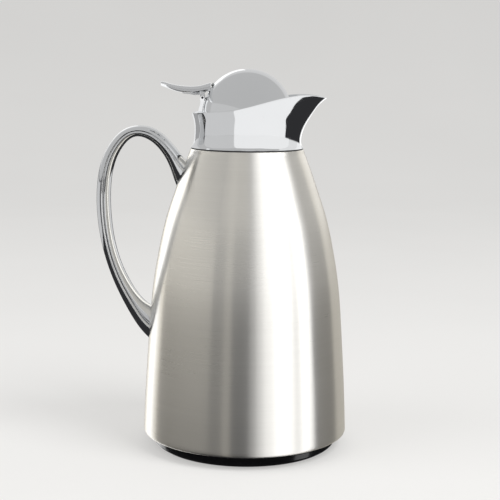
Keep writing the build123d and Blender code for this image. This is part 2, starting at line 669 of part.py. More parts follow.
with BuildPart() as retainer_screw:
    revolve(turned((0, RETAINER_BOTTOM), (RETAINER_SCREW_HEAD, RETAINER_BOTTOM),
                   (RETAINER_SCREW, RETAINER_BOTTOM + 1.6), (RETAINER_SCREW, 235.5), (0, 235.5)),
            axis=Axis.Z)
    # cross recess
    with BuildSketch(Plane.XY.offset(RETAINER_BOTTOM)):
        Rectangle(4.2, 0.9)
        Rectangle(0.9, 4.2)
    extrude(amount=1.2, mode=Mode.SUBTRACT)
retainer_screw.part.label = "retainer_screw"
export_step(retainer_screw.part, "parts/retainer_screw.step")
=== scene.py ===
"""A glass-lined vacuum jug with a lever lid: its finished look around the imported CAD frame."""
import json
import math

import bmesh
import bpy
import numpy as np
from mathutils import Matrix, Vector


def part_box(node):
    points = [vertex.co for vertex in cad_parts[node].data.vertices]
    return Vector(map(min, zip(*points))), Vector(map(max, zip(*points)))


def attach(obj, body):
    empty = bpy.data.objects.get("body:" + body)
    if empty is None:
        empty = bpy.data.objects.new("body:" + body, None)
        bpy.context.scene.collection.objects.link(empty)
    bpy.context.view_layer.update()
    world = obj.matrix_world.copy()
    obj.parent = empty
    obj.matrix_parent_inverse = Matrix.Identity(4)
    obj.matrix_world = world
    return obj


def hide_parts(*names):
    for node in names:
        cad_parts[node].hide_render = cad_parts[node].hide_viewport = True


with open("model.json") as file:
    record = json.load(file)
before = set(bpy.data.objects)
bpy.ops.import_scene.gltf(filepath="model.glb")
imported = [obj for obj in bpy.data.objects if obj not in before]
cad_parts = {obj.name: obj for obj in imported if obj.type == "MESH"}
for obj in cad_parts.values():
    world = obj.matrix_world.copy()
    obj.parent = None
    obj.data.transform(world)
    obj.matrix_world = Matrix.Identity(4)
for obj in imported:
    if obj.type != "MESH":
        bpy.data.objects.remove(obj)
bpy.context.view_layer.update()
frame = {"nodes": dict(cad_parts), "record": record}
nodes = frame["nodes"]

MM = 0.001

# ---------------------------------------------------------------- driving dimensions, in millimetres
# The jug's axis is Z, the spout points along +X and the handle along -X.

SHELL_LOW, SHELL_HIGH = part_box("outer_shell")
SHELL_FLOOR = SHELL_LOW.z / MM
SHELL_TOP = SHELL_HIGH.z / MM
SHELL_RADIUS = SHELL_HIGH.x / MM
SHELL_WALL = 0.7
SHELL_MOUTH = 66.0
SHELL_TOP_RADIUS = 41.0
NECK_HOLE = 24.0
FLANK = [(SHELL_RADIUS, SHELL_FLOOR + 2), (73.9, 37.3), (70.8, 86.1), (67.5, 122.2), (63.4, 146),
         (57.9, 169.6), (52.1, 187.1), (45.9, 204.6), (41.5, SHELL_TOP - 2.5)]

COLLAR_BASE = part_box("pouring_collar")[0].z / MM
COLLAR_WALL = 1.2
# height, radius behind and beside, reach of the beak
COLLAR_ROWS = [
    (COLLAR_BASE, 41, 41), (COLLAR_BASE + COLLAR_WALL, 39.7, 39.8), (223, 38.7, 38.9),
    (228, 38.1, 39.2), (233, 38, 40.7), (238, 38.6, 43.2), (244, 40.2, 46.9), (250, 40.8, 51.2),
    (255, 41, 56.9), (259, 41.2, 62.5),
]
COLLAR_RIM = [(-46, 243.2), (-27, 245.3), (-11.3, 246.9), (9, 251.7), (29.8, 256.5), (43, 257.4),
              (57.8, 255.5), (66, 253.8)]
BEAK_HALF_ANGLE = math.radians(65)
BEAK_TIP_ROUNDING = math.radians(5)
RIM_ROUNDING = 0.5

# outer edge x, z; inner edge x, z; share of the depth outside the widest line; half width
HANDLE_ROWS = [
    (-38.5, 204.5, -47, 183, .30, 7.2), (-46.6, 212.3, -51.9, 193, .32, 7.4),
    (-53.6, 220.9, -56, 204.6, .38, 7.7), (-61.5, 228.7, -60.9, 214, .44, 8),
    (-70.3, 233.4, -69.4, 222.9, .48, 8.2), (-78.6, 234.3, -77.8, 226.3, .5, 8.4),
    (-88.1, 231.9, -84.5, 224.6, .5, 8.5), (-96.3, 225, -90.2, 218.6, .5, 8.5),
    (-103.5, 213.6, -95.2, 208.9, .5, 8.5), (-108.5, 194, -98.7, 191.5, .5, 8.5),
    (-109, 171, -98.7, 169.5, .5, 8.5), (-104.6, 142.9, -94.9, 144.5, .5, 8.5),
    (-96.4, 118.5, -87.2, 124, .5, 8.4), (-86.6, 98.6, -77.4, 108.8, .48, 8.3),
    (-76.6, 83.2, -69.6, 102.3, .42, 8.2), (-62, 70, -58, 97, .4, 8),
]
CREASE_DEPTH = 0.75
CREASE_WIDTH = 0.7

DOME_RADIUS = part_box("lid_dome")[1].x / MM
DOME_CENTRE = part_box("lid_dome")[1].z / MM - DOME_RADIUS
DOME_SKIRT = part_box("lid_dome")[0].z / MM
DOME_WALL = 1.0
DOME_OVERLAP = 0.2            # how deep the lever's root sits in the dome's wall

RING_FLOOR, RING_TOP = (corner.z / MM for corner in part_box("base_ring"))
RING_RADIUS = 70.0
RING_BORE = 60.0
CAP_FLOOR = 4.0               # underside of the cap's middle
CAP_WALL = 3.0
CAP_RIM = 1.2                 # underside of the cap's outer rim, either side of the rubber foot

PIN_X, PIN_Z = -32.2, 254.8
KNUCKLE_RADIUS = 1.9
KNUCKLE_HALF = 4.5
WEB_FRONT = -31.2             # front face of the web between knuckle and blade
WEB_TOP = 259.9
# side views of the blade, from its tip to its root
LEVER_TOP = [(-62.6, 266.1), (-60.5, 266.1), (-55.9, 264.9), (-48.7, 263.6), (-41.5, 263.1),
             (-34.3, 263.6), (-26.4, 265.9)]
LEVER_UNDERSIDE = [(-62.6, 263), (-60.5, 262.3), (-51.6, 259.1), (-41.5, 257.7), (-36, 257.8),
                   (-31, 258.7), (-26.5, 259)]
LEVER_TIP = 62.5              # reach of the tip behind the axis
LEVER_TIP_LENGTH = 8.0
LEVER_ROOT = 26.4
LEVER_DISH = 0.5              # depth of the hollow that the thumb rests in
# powers that square the blade's cross-section off, sideways and upwards; 1 leaves an ellipse
LEVER_SQUARE_ACROSS, LEVER_SQUARE_UP = 0.45, 0.62
LEVER_HALF_WIDTHS = [(-56, 7.75), (-46, 7.2), (-34, 6), (-24, 5.6)]
# side view of the stiffening rib under the blade, which comes down in two steps
LEVER_RIB = [(-51, 259.4), (-46.9, 258.3), (-46.8, 257.6), (-39, 256.8), (-38.8, 256.4),
             (-34, 256.6), (-33.4, 257.4), (-30, 258.2), (-30, 260), (-51, 260)]
LEVER_RIB_HALF = 2.6

# side view of the hinge lug's two ears: the back edge, up to the eye that holds the pin, and the
# front edge, which keeps just clear of the dome
EAR_BACK = [(-33.3, 240), (-35.4, 242.4), (-35.2, 245.2), (-34.5, 247.9), (-33.8, 250.3),
            (-33.7, 252.2)]
EAR_FRONT = [(-31.3, 251.2), (-31.9, 248.4), (-32.3, 245), (-32.4, 240)]
EAR_EYE = 1.6
EAR_INNER, EAR_OUTER = 4.8, 7.4
# side view of the plate that joins the ears inside the collar
PLATE_OUTLINE = [(-37.2, 237), (-37.2, 242), (-35.6, 243.6), (-33.6, 243.6), (-33.4, 237)]

# ---------------------------------------------------------------- curves


def spline(knots, steps):
    """Points along the natural cubic through the knots, with that many steps to a span."""
    knots = np.array(knots, float)
    span = np.linalg.norm(np.diff(knots, axis=0), axis=1)
    system = np.eye(len(knots))
    pull = np.zeros_like(knots)
    for i in range(1, len(knots) - 1):
        system[i, i - 1:i + 2] = span[i - 1], 2 * (span[i - 1] + span[i]), span[i]
        ahead = (knots[i + 1] - knots[i]) / span[i]
        behind = (knots[i] - knots[i - 1]) / span[i - 1]
        pull[i] = 6 * (ahead - behind)
    bend = np.linalg.solve(system, pull)
    points = []
    for i in range(len(knots) - 1):
        for step in range(steps):
            b = step / steps
            a = 1 - b
            sag = ((a**3 - a) * bend[i] + (b**3 - b) * bend[i + 1]) * span[i]**2 / 6
            points.append(a * knots[i] + b * knots[i + 1] + sag)
    points.append(knots[-1])
    return np.array(points)


def graph(rows):
    """A smooth function through rows of (position, value)."""
    fine = spline(rows, 24)
    if fine[0, 0] > fine[-1, 0]:
        fine = fine[::-1]
    return lambda position: float(np.interp(position, fine[:, 0], fine[:, 1]))


def rounded(corners, steps=5):
    """An outline of (radius, height, fillet) corners, with the corners rounded off."""
    points = []
    for i, (radius, height, fillet) in enumerate(corners):
        here = Vector((radius, height))
        if not fillet:
            points.append(here)
            continue
        back = Vector(corners[i - 1][:2]) - here
        ahead = Vector(corners[(i + 1) % len(corners)][:2]) - here
        reach = fillet / math.tan(back.angle(ahead) / 2)
        start = here + back.normalized() * reach
        end = here + ahead.normalized() * reach
        for step in range(steps + 1):
            t = step / steps
            points.append((1 - t)**2 * start + 2 * t * (1 - t) * here + t**2 * end)
    return [tuple(point) for point in points]


# ---------------------------------------------------------------- meshes


def skin(name, rings, closed=False, sharp=40):
    """A mesh through rings of points, in millimetres.  A ring of one point is a pole."""
    vertices, faces, starts = [], [], []
    for ring in rings:
        starts.append(len(vertices))
        vertices.extend(Vector(point) * MM for point in ring)
    last = len(rings) if closed else len(rings) - 1
    for low in range(last):
        high = (low + 1) % len(rings)
        count = max(len(rings[low]), len(rings[high]))
        for i in range(count):
            quad = []
            for row, column in ((low, i), (low, i + 1), (high, i + 1), (high, i)):
                vertex = starts[row] + column % len(rings[row])
                if vertex not in quad:
                    quad.append(vertex)
            faces.append(quad)
    mesh = bpy.data.meshes.new(name)
    mesh.from_pydata(vertices, [], faces)
    return finished(name, mesh, sharp)


def finished(name, mesh, sharp):
    """An object of the mesh, with its faces turned outwards and smooth up to a sharp angle."""
    form = bmesh.new()
    form.from_mesh(mesh)
    bmesh.ops.recalc_face_normals(form, faces=form.faces)
    form.to_mesh(mesh)
    form.free()
    mesh.shade_smooth()
    mesh.set_sharp_from_angle(angle=math.radians(sharp))
    piece = bpy.data.objects.new(name, mesh)
    bpy.context.scene.collection.objects.link(piece)
    return piece


def circle(radius, height, count):
    """A ring of points about the jug's axis, or a pole on it."""
    if radius < 1e-6:
        return [(0, 0, height)]
    turns = [2 * math.pi * i / count for i in range(count)]
    return [(radius * math.cos(turn), radius * math.sin(turn), height) for turn in turns]


def lathe(name, outline, count=160):
    """A turned piece.  An outline that starts on the axis ends there too; any other one closes."""
    closed = outline[0][0] > 1e-6
    return skin(name, [circle(radius, height, count) for radius, height in outline], closed)


def slab(name, outline, near, far, bevel):
    """An (x, z) outline drawn out between two places across the jug, with its edges rounded."""
    form = bmesh.new()
    ends = []
    for side in (near, far):
        ends.append([form.verts.new(Vector((x, side, z)) * MM) for x, z in outline])
    form.faces.new(ends[0])
    form.faces.new(ends[1][::-1])
    for i in range(len(outline)):
        j = (i + 1) % len(outline)
        form.faces.new((ends[0][j], ends[0][i], ends[1][i], ends[1][j]))
    bmesh.ops.bevel(form, geom=form.edges[:], offset=bevel * MM, segments=3, profile=0.5,
                    affect="EDGES")
    mesh = bpy.data.meshes.new(name)
    form.to_mesh(mesh)
    form.free()
    return finished(name, mesh, sharp=30)


# ---------------------------------------------------------------- shapes


def shell():
    """The spun steel body, open at the foot, with a rolled lower corner and a flat top."""
    outer = [tuple(point) for point in spline(FLANK, 10)]
    corner = rounded([(SHELL_MOUTH, SHELL_FLOOR, 0), (SHELL_RADIUS, SHELL_FLOOR, 2),
                      (SHELL_RADIUS, SHELL_FLOOR + 40, 0)])[1:-1]
    top = rounded([outer[-1] + (0,), (SHELL_TOP_RADIUS - .1, SHELL_TOP, .8),
                   (NECK_HOLE, SHELL_TOP, 0)])[1:-1]
    outside = corner[:-1] + outer + top
    inside = []
    for i in range(len(outside)):
        behind, ahead = outside[max(i - 1, 0)], outside[min(i + 1, len(outside) - 1)]
        along = Vector((ahead[0] - behind[0], ahead[1] - behind[1])).normalized()
        inside.append((outside[i][0] - SHELL_WALL * along.y, outside[i][1] + SHELL_WALL * along.x))
    mouth = [(SHELL_MOUTH, SHELL_FLOOR + SHELL_WALL), (SHELL_MOUTH, SHELL_FLOOR)]
    hole = [(NECK_HOLE, SHELL_TOP), (NECK_HOLE, SHELL_TOP - SHELL_WALL)]
    return lathe("jug_shell", outside + hole + inside[::-1] + mouth, 192)


shell_radius = graph([(height, radius) for radius, height in FLANK])
collar_back = graph([(height, back) for height, back, reach in COLLAR_ROWS])
collar_reach = graph([(height, reach) for height, back, reach in COLLAR_ROWS])
collar_rim = graph(COLLAR_RIM)


def collar_radius(angle, height, wall):
    """Distance of the collar's surface from the axis; the beak points along angle 0."""
    bend = math.hypot(angle, BEAK_TIP_ROUNDING) - BEAK_TIP_ROUNDING
    share = max(0, 1 - bend / BEAK_HALF_ANGLE)**3
    back = collar_back(height) - wall
    reach = collar_reach(height) - 1.5 * wall
    return back + (reach - back) * share


def rim_height(angle, wall):
    """Where the collar's surface meets its rim at an angle."""
    low, high = COLLAR_BASE, COLLAR_ROWS[-1][0]
    for _ in range(30):
        middle = (low + high) / 2
        if middle < collar_rim(collar_radius(angle, middle, wall) * math.cos(angle)):
            low = middle
        else:
            high = middle
    return low


def collar(count=192, rows=44):
    """The round neck drawn out into a beak, with a rounded rim and an inward foot flange."""
    rings = [[] for _ in range(2 * rows + 10)]
    for i in range(count):
        # more points near the beak's tip
        turn = 2 * i / count - 1
        angle = math.pi * turn * abs(turn)**0.35
        column = []
        tops = []
        for wall in (0, COLLAR_WALL):
            top = rim_height(angle, wall) - RIM_ROUNDING
            floor = COLLAR_BASE + (COLLAR_WALL if wall else 0)
            side = []
            for row in range(rows):
                height = floor + (top - floor) * row / (rows - 1)
                side.append((collar_radius(angle, height, wall), height))
            tops.append(side[-1])
            column.append(side)
        arch = []
        for step in range(1, 8):
            swing = math.pi * step / 8
            share = (1 - math.cos(swing)) / 2
            radius = tops[0][0] + (tops[1][0] - tops[0][0]) * share
            height = tops[0][1] + (tops[1][1] - tops[0][1]) * share + RIM_ROUNDING * math.sin(swing)
            arch.append((radius, height))
        foot = [(NECK_HOLE, COLLAR_BASE + COLLAR_WALL), (NECK_HOLE, COLLAR_BASE)]
        outline = column[0] + arch + column[1][::-1] + foot
        outline.append((SHELL_TOP_RADIUS - 1, COLLAR_BASE))
        for ring, (radius, height) in zip(rings, outline):
            ring.append((radius * math.cos(angle), radius * math.sin(angle), height))
    return skin("collar_spout", rings, closed=True, sharp=50)


def on_shell(x, y, z, depth=0.35):
    """The point itself, or just under the steel where it would lie deeper inside."""
    least = shell_radius(z) - depth
    radius = math.hypot(x, y)
    if radius >= least:
        return x, y, z
    return x * least / radius, y * least / radius, z


def handle(steps=10, count=72):
    """The loop handle: an outer rod and an inner flank that meet in a crease down each side."""
    rings = []
    for row in spline(HANDLE_ROWS, steps):
        outer, inner, share, half_width = Vector(row[:2]), Vector(row[2:4]), row[4], row[5]
        depth = (outer - inner).length
        out = (outer - inner).normalized()
        middle = outer - out * depth * share
        ring = []
        for i in range(count):
            # crowd the points towards the creases
            turn = 2 * i / count
            quarter = turn % 1
            eased = quarter - math.sin(2 * math.pi * quarter) / (2 * math.pi) * 0.75
            angle = math.pi * (math.floor(turn) + eased)
            reach = depth * (share if angle < math.pi else 1 - share)
            lift = reach * math.sin(angle)
            crease = CREASE_DEPTH * math.exp(-(lift / CREASE_WIDTH)**2)
            side = math.copysign(abs(half_width * math.cos(angle)) - crease, math.cos(angle))
            place = middle + out * lift
            ring.append(on_shell(place.x, side, place.y))
        rings.append(ring)
    ends = []
    for ring in (rings[0], rings[-1]):
        centre = np.mean(ring, axis=0)
        ends.append([on_shell(*centre)])
    return skin("loop_handle", ends[:1] + rings + ends[1:], sharp=60)


def on_dome(x, y, z):
    """The point itself, or just under the dome's surface where it would lie deeper inside."""
    centre = Vector((0, 0, DOME_CENTRE))
    arm = Vector((x, y, z)) - centre
    least = DOME_RADIUS - DOME_OVERLAP
    if arm.length < least:
        arm = arm.normalized() * least
    return tuple(centre + arm)


def lever(count=40):
    """The thumb blade: a thin spoon with soft edges and a round, turned-up tip."""
    top, underside = graph(LEVER_TOP), graph(LEVER_UNDERSIDE)
    half_width = graph(LEVER_HALF_WIDTHS)
    tip_start = LEVER_TIP_LENGTH - LEVER_TIP
    stations = []
    for step in range(1, 13):
        swing = math.pi / 2 * (1 - step / 12)
        x = tip_start - LEVER_TIP_LENGTH * math.sin(swing)
        stations.append((x, half_width(tip_start) * max(math.cos(swing), .02)))
    for step in range(1, 25):
        x = tip_start + (-LEVER_ROOT - tip_start) * step / 24
        stations.append((x, half_width(x)))
    rings = [[(-LEVER_TIP, 0, (top(-LEVER_TIP) + underside(-LEVER_TIP)) / 2)]]
    for x, width in stations:
        high, low = top(x), underside(x)
        ring = []
        for i in range(count):
            angle = 2 * math.pi * i / count
            across = math.copysign(abs(math.cos(angle))**LEVER_SQUARE_ACROSS, math.cos(angle))
            up = math.copysign(abs(math.sin(angle))**LEVER_SQUARE_UP, math.sin(angle))
            dish = LEVER_DISH * (1 - across**2) * (up > 0) * min(1, width / 7)
            z = (high + low) / 2 + up * (high - low) / 2 - dish
            ring.append(on_dome(x, width * across, z))
        rings.append(ring)
    rings.append([tuple(np.mean(rings[-1], axis=0))])
    return skin("lever_blade", rings, sharp=60)


def knuckle_outline(count=14):
    """Side view of the lever's web and the eye that turns on the pin."""
    back = PIN_X - KNUCKLE_RADIUS
    points = [(WEB_FRONT, WEB_TOP), (back, WEB_TOP), (back, PIN_Z)]
    for i in range(1, count):
        angle = math.pi + (math.pi + .5) * i / count
        points.append((PIN_X + KNUCKLE_RADIUS * math.cos(angle),
                       PIN_Z + KNUCKLE_RADIUS * math.sin(angle)))
    points.append((WEB_FRONT, PIN_Z + 2.4))
    return points


def base_band():
    """The black ring that carries the shell, with a groove for the shell's rolled edge."""
    return lathe("base_band", rounded([
        (RING_BORE, RING_FLOOR, .3), (RING_RADIUS, RING_FLOOR, 1), (RING_RADIUS, SHELL_FLOOR, .15),
        (SHELL_MOUTH, SHELL_FLOOR, 0), (SHELL_MOUTH, SHELL_FLOOR + SHELL_WALL, 0),
        (72, SHELL_FLOOR + SHELL_WALL, .4), (72, 14, .6), (64, RING_TOP, .6),
        (RING_BORE, RING_TOP, .6)]))


def base_cap():
    """The screw cap under the flask: a raised middle, a groove for the foot and an inner wall."""
    return lathe("base_cap_moulding", rounded([
        (0, CAP_FLOOR, 0), (22, CAP_FLOOR, .4), (23, CAP_FLOOR - .6, .4), (25, CAP_FLOOR - .6, .4),
        (26, CAP_FLOOR, .4), (53, CAP_FLOOR, .5), (54, CAP_RIM, .4), (56, CAP_RIM, .2),
        (56, CAP_WALL, 0), (64, CAP_WALL, 0), (64, CAP_RIM, .2), (65.6, CAP_RIM, .5), (67, 2.6, .7),
        (67, RING_FLOOR, .3), (RING_BORE, RING_FLOOR, 0), (RING_BORE, 18, .5),
        (RING_BORE - CAP_WALL, 18, .5), (RING_BORE - CAP_WALL, CAP_FLOOR + CAP_WALL, .5),
        (0, CAP_FLOOR + CAP_WALL, 0)]))


def dome(steps=40):
    """The lid's thin half ball, with a short straight skirt."""
    inner = DOME_RADIUS - DOME_WALL
    arc = [math.radians(90 - 90 * i / steps) for i in range(steps + 1)]
    outside = [(DOME_RADIUS * math.cos(a), DOME_CENTRE + DOME_RADIUS * math.sin(a)) for a in arc]
    outside[0] = (0, DOME_CENTRE + DOME_RADIUS)
    skirt = rounded([(DOME_RADIUS, DOME_CENTRE, 0), (DOME_RADIUS, DOME_SKIRT, .4),
                     (inner, DOME_SKIRT, .4), (inner, DOME_CENTRE, 0)])[1:-1]
    inside = [(inner * math.cos(a), DOME_CENTRE + inner * math.sin(a)) for a in arc[::-1]]
    inside[-1] = (0, DOME_CENTRE + inner)
    return lathe("dome_cover", outside + skirt + inside)


def ear_outline(count=14):
    """Side view of a hinge ear: it hugs the dome and ends in the eye round the pin."""
    points = [tuple(point) for point in spline(EAR_BACK, 4)]
    for i in range(count + 1):
        angle = math.radians(200) - math.radians(225) * i / count
        points.append((PIN_X + EAR_EYE * math.cos(angle), PIN_Z + EAR_EYE * math.sin(angle)))
    return points + [tuple(point) for point in spline(EAR_FRONT, 3)]


# ---------------------------------------------------------------- materials


NOISE_ROUGHNESS = 0.55


class Paint:
    """One Principled material and the short calls that build its texture nodes."""

    def __init__(self, name, **values):
        """Starts a material; a value's key is its shader socket, with underscores for spaces."""
        self.material = bpy.data.materials.new(name)
        self.material.use_nodes = True
        self.tree = self.material.node_tree
        self.shader = self.tree.nodes["Principled BSDF"]
        for socket, value in values.items():
            self.shader.inputs[socket.replace("_", " ")].default_value = value
        self.place = self.node("ShaderNodeTexCoord").outputs["Object"]

    def node(self, kind, **settings):
        """A node of the material's tree."""
        node = self.tree.nodes.new(kind)
        for key, value in settings.items():
            setattr(node, key, value)
        return node

    def link(self, start, end):
        """Joins an output to an input."""
        self.tree.links.new(start, end)

    def noise(self, scale, detail, stretch=(1, 1, 1)):
        """Noise over the object's own coordinates, in cycles to a metre."""
        mapping = self.node("ShaderNodeMapping")
        mapping.inputs["Scale"].default_value = stretch
        self.link(self.place, mapping.inputs["Vector"])
        noise = self.node("ShaderNodeTexNoise")
        noise.inputs["Scale"].default_value = scale
        noise.inputs["Detail"].default_value = detail
        noise.inputs["Roughness"].default_value = NOISE_ROUGHNESS
        self.link(mapping.outputs["Vector"], noise.inputs["Vector"])
        return noise.outputs["Fac"]

    def cells(self, scale):
        """Distance to the middle of each cell, in cells to a metre."""
        cells = self.node("ShaderNodeTexVoronoi")
        cells.inputs["Scale"].default_value = scale
        self.link(self.place, cells.inputs["Vector"])
        return cells.outputs["Distance"]

    def spread(self, source, low, high):
        """The source's middle half, spread between two values."""
        spread = self.node("ShaderNodeMapRange")
        for socket, value in (("From Min", .25), ("From Max", .75), ("To Min", low), ("To Max", high)):
            spread.inputs[socket].default_value = value
        self.link(source, spread.inputs["Value"])
        return spread.outputs["Result"]

    def vary(self, socket, source, low, high):
        """Drives a shader socket between two values."""
        self.link(self.spread(source, low, high), self.shader.inputs[socket])

    def colour(self, source, dark, light):
        """Varies the base colour between a dark and a light tone."""
        mix = self.node("ShaderNodeMix", data_type="RGBA")
        mix.inputs["A"].default_value = (*dark, 1)
        mix.inputs["B"].default_value = (*light, 1)
        self.link(self.spread(source, 0, 1), mix.inputs["Factor"])
        self.link(mix.outputs["Result"], self.shader.inputs["Base Color"])

    def bump(self, *layers):
        """Layers of (height source, relief in metres)."""
        normal = None
        for source, relief in layers:
            bump = self.node("ShaderNodeBump")
            bump.inputs["Strength"].default_value = 1
            bump.inputs["Distance"].default_value = relief
            self.link(source, bump.inputs["Height"])
            if normal:
                self.link(normal, bump.inputs["Normal"])
            normal = bump.outputs["Normal"]
        self.link(normal, self.shader.inputs["Normal"])


def brushed_steel():
    """Satin steel, brushed round the jug: fine and coarse horizontal scratches."""
    paint = Paint("brushed_steel_shell", Metallic=1, Anisotropic=.9, Anisotropic_Rotation=.25)
    tangent = paint.node("ShaderNodeTangent", direction_type="RADIAL", axis="Z")
    paint.link(tangent.outputs["Tangent"], paint.shader.inputs["Tangent"])
    fine = paint.noise(1, 4, (30, 30, 2600))
    coarse = paint.noise(1, 2, (9, 9, 420))
    cloud = paint.noise(9, 3)
    blend = paint.node("ShaderNodeMix", data_type="FLOAT")
    blend.inputs["Factor"].default_value = .45
    paint.link(fine, blend.inputs["A"])
    paint.link(coarse, blend.inputs["B"])
    paint.colour(blend.outputs["Result"], (.69, .678, .648), (.735, .723, .692))
    both = paint.node("ShaderNodeMath", operation="ADD")
    paint.link(paint.spread(fine, .265, .315), both.inputs[0])
    paint.link(paint.spread(cloud, -.015, .03), both.inputs[1])
    paint.link(both.outputs["Value"], paint.shader.inputs["Roughness"])
    paint.bump((fine, .0000025), (coarse, .000004))
    return paint.material


def chrome():
    """Polished plating over a casting that isn't perfectly flat, with faint wiping marks."""
    paint = Paint("chrome_plate", Metallic=1)
    tint = (.88, .89, .90)
    paint.colour(paint.noise(22, 3), [value * .97 for value in tint], tint)
    paint.vary("Roughness", paint.noise(1, 4, (60, 340, 120)), .035, .085)
    paint.bump((paint.noise(26, 1), .00006), (paint.noise(900, 2), .000001))
    return paint.material


def gloss_black():
    """Moulded black plastic with a deep gloss, faint dust and hairline scuffs."""
    paint = Paint("gloss_black_plastic", Specular_IOR_Level=.5, Coat_Weight=.35, Coat_Roughness=.05)
    dust = paint.noise(420, 4)
    paint.colour(dust, (.006, .006, .007), (.016, .016, .017))
    paint.vary("Roughness", paint.noise(1, 4, (90, 90, 1400)), .12, .24)
    paint.bump((paint.noise(240, 2), .000012))
    return paint.material


def matte_plastic():
    """Dark moulded plastic with a fine spark-eroded texture."""
    paint = Paint("textured_dark_plastic", Specular_IOR_Level=.45)
    grain = paint.cells(2600)
    paint.colour(paint.noise(60, 4), (.028, .028, .031), (.048, .048, .052))
    paint.vary("Roughness", grain, .42, .62)
    paint.bump((grain, .00003), (paint.noise(90, 2), .00002))
    return paint.material


def rubber(name, dark, light, roughness):
    """Soft rubber: nearly matte, with a fine skin and a little bloom."""
    paint = Paint(name, Specular_IOR_Level=.3, Sheen_Weight=.15, Sheen_Roughness=.4)
    paint.colour(paint.noise(130, 5), dark, light)
    paint.vary("Roughness", paint.noise(700, 3), roughness - .07, roughness + .07)
    paint.bump((paint.noise(1500, 3), .00002))
    return paint.material


def silvered_glass():
    """Blown glass silvered on its vacuum side, with soft ripples."""
    paint = Paint("silvered_glass_wall", Metallic=1, Coat_Weight=1, Coat_Roughness=.02)
    paint.colour(paint.noise(35, 3), (.80, .79, .76), (.88, .87, .85))
    paint.vary("Roughness", paint.noise(18, 3), .03, .08)
    paint.bump((paint.noise(1, 2, (12, 12, 60)), .0001))
    return paint.material


def felt():
    """Pressed fibre pads."""
    paint = Paint("pressed_fibre", Specular_IOR_Level=.2, Sheen_Weight=.6)
    fibres = paint.noise(1, 5, (900, 2600, 900))
    paint.colour(fibres, (.42, .41, .37), (.60, .59, .55))
    paint.vary("Roughness", fibres, .85, 1)
    paint.bump((fibres, .0002))
    return paint.material


def zinc():
    """Passivated zinc plating with faint spangle and a yellowish cast."""
    paint = Paint("zinc_plated_steel", Metallic=1)
    paint.colour(paint.cells(320), (.50, .52, .53), (.64, .65, .62))
    paint.vary("Roughness", paint.noise(700, 4), .26, .42)
    paint.bump((paint.noise(1600, 3), .00001))
    return paint.material


def foam():
    """Cream rigid foam with open cells."""
    paint = Paint("rigid_foam", Specular_IOR_Level=.25)
    cell = paint.cells(900)
    paint.colour(cell, (.58, .54, .42), (.80, .77, .66))
    paint.vary("Roughness", cell, .75, .95)
    paint.bump((cell, .0005))
    return paint.material


FINISHES = {
    "brushed_shell": brushed_steel(),
    "chrome_trim": chrome(),
    "black_base": gloss_black(),
    "dark_plastic": matte_plastic(),
    "silicone": rubber("dark_silicone", (.05, .05, .054), (.085, .085, .09), .5),
    "foot_rubber": rubber("black_rubber", (.016, .016, .016), (.03, .03, .03), .68),
    "silvered_glass": silvered_glass(),
    "spacer_felt": felt(),
    "zinc_steel": zinc(),
    "foam": foam(),
}


def place(piece, body, slot, *replaced):
    """Gives a piece its body, its finish and the CAD nodes that it stands for."""
    piece.data.materials.clear()
    piece.data.materials.append(FINISHES[slot])
    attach(piece, body)
    if replaced:
        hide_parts(*replaced)


# the CAD nodes that stay take the finish of their slot
for row in frame["record"]["subparts"]:
    carried = nodes[row["node"]]
    carried.data.materials.clear()
    carried.data.materials.append(FINISHES[row["material_slot"]])

# ---------------------------------------------------------------- pieces

place(shell(), "jug", "brushed_shell", "outer_shell")
place(collar(), "jug", "chrome_trim", "pouring_collar")
place(handle(), "jug", "chrome_trim", "handle")
place(base_band(), "jug", "black_base", "base_ring")
place(base_cap(), "jug", "black_base", "base_cap")
place(dome(), "lid", "chrome_trim", "lid_dome")
place(lever(), "lid", "chrome_trim", "thumb_lever")
place(slab("lever_knuckle", knuckle_outline(), -KNUCKLE_HALF, KNUCKLE_HALF, .25), "lid",
      "chrome_trim", "thumb_lever")
place(slab("lever_rib", LEVER_RIB, -LEVER_RIB_HALF, LEVER_RIB_HALF, .12), "lid", "chrome_trim",
      "thumb_lever")
for name, side in (("hinge_ear_near", -1), ("hinge_ear_far", 1)):
    near, far = sorted((side * EAR_INNER, side * EAR_OUTER))
    place(slab(name, ear_outline(), near, far, .45), "jug", "chrome_trim", "hinge_bracket")
place(slab("hinge_plate", PLATE_OUTLINE, -EAR_OUTER, EAR_OUTER, .3), "jug", "chrome_trim",
      "hinge_bracket")

# ---------------------------------------------------------------- camera, stage and light

CAMERA_PLACE = (.0028, -.8814, .2769)
CAMERA_LENS = 87.46
CAMERA_DOWN = math.radians(8.58)
CAMERA_ROLL = math.radians(.557)

camera_data = bpy.data.cameras.new("camera")
camera_data.lens = CAMERA_LENS
camera_data.sensor_width = 36
camera_data.clip_start = .01
camera = bpy.data.objects.new("camera", camera_data)
camera.matrix_world = (Matrix.Translation(CAMERA_PLACE)
                       @ Matrix.Rotation(math.pi / 2 - CAMERA_DOWN, 4, "X")
                       @ Matrix.Rotation(CAMERA_ROLL, 4, "Z"))
bpy.context.scene.collection.objects.link(camera)
bpy.context.scene.camera = camera

